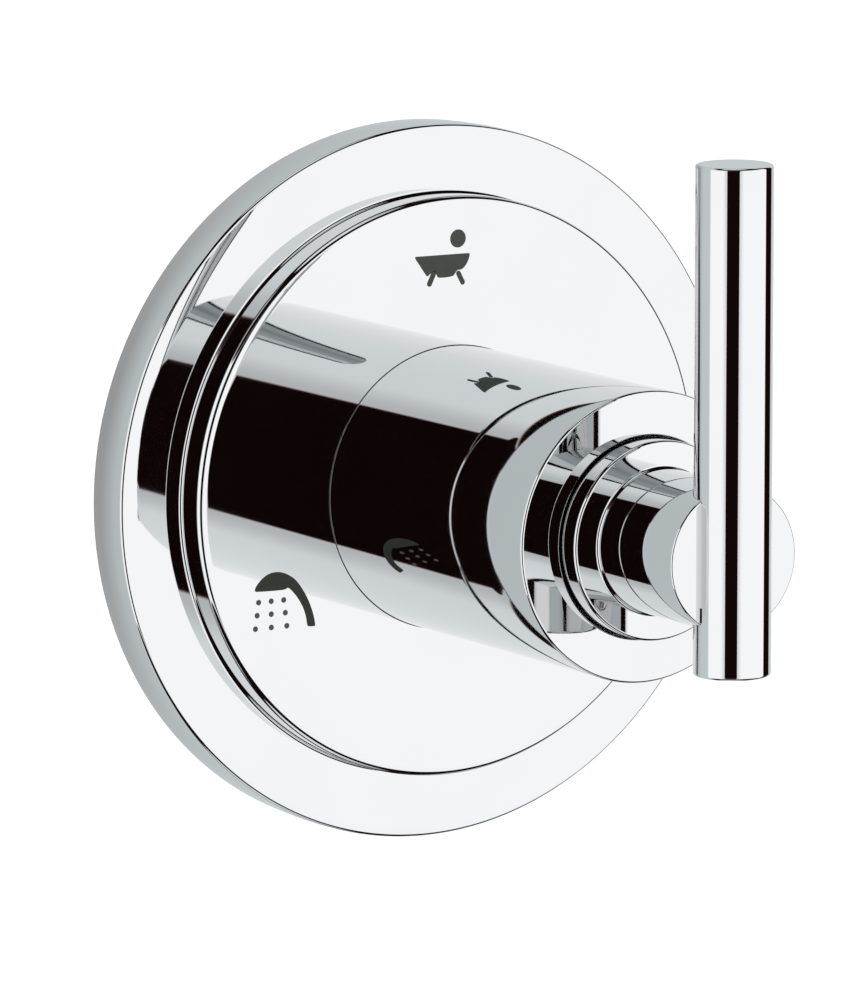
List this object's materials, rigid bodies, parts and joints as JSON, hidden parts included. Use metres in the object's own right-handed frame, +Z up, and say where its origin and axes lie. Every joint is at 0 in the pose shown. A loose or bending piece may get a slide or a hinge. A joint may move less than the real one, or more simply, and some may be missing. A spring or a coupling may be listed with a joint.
{
  "type": "shower diverter valve",
  "caption": "Wall-mounted shower diverter with a round stepped chrome plate, a long plain sleeve and an upright bar lever on a turning hub, over a concealed brass valve body.",
  "frame": {"origin": "centre of the escutcheon's back face, in the wall plane, on the valve's axis", "axes": "+Y into the wall along the valve's axis, +Z up along the lever at rest, +X to the right as seen from the front"},
  "size_m": [0.1168, 0.138, 0.1197],
  "materials": {
    "chrome_trim": "polished chrome plate",
    "raw_brass": "forged and turned, unplated",
    "black_rubber": "smooth moulded",
    "foam_seal": "closed-cell foam",
    "white_plastic": "moulded, satin",
    "grey_plastic": "moulded, satin",
    "white_ceramic": "lapped ceramic",
    "steel_screws": "plain steel"
  },
  "bodies": {
    "valve": {"escutcheon": "chrome_trim", "escutcheon_disc": "chrome_trim", "sleeve": "chrome_trim", "escutcheon_collar": "raw_brass", "valve_body": "raw_brass", "pipe_bosses": "raw_brass", "fixing_plate": "raw_brass", "cartridge_nut": "raw_brass", "collar_o_ring": "black_rubber", "sleeve_o_ring": "black_rubber", "port_seals": "black_rubber", "housing_o_ring": "black_rubber", "escutcheon_seal": "foam_seal", "handle_glide_ring": "white_plastic", "stop_ring": "white_plastic", "cartridge_base": "grey_plastic", "cartridge_housing": "grey_plastic", "fixed_ceramic_disc": "white_ceramic"},
    "handle": {"handle_hub": "chrome_trim", "lever_bar": "chrome_trim", "lever_screw": "steel_screws", "handle_grub_screw": "steel_screws", "stem_extension": "raw_brass", "extension_screw": "steel_screws", "stem": "raw_brass", "stem_o_rings": "black_rubber", "slide_washer": "white_plastic", "disc_driver": "white_plastic", "rotating_ceramic_disc": "white_ceramic"}
  },
  "joints": [
    {"name": "handle_turn", "type": "hinge", "parent": "valve", "child": "handle", "pos_m": [0, 0, 0], "axis": [0, -1, 0], "range_deg": [-120, 120]}
  ]
}
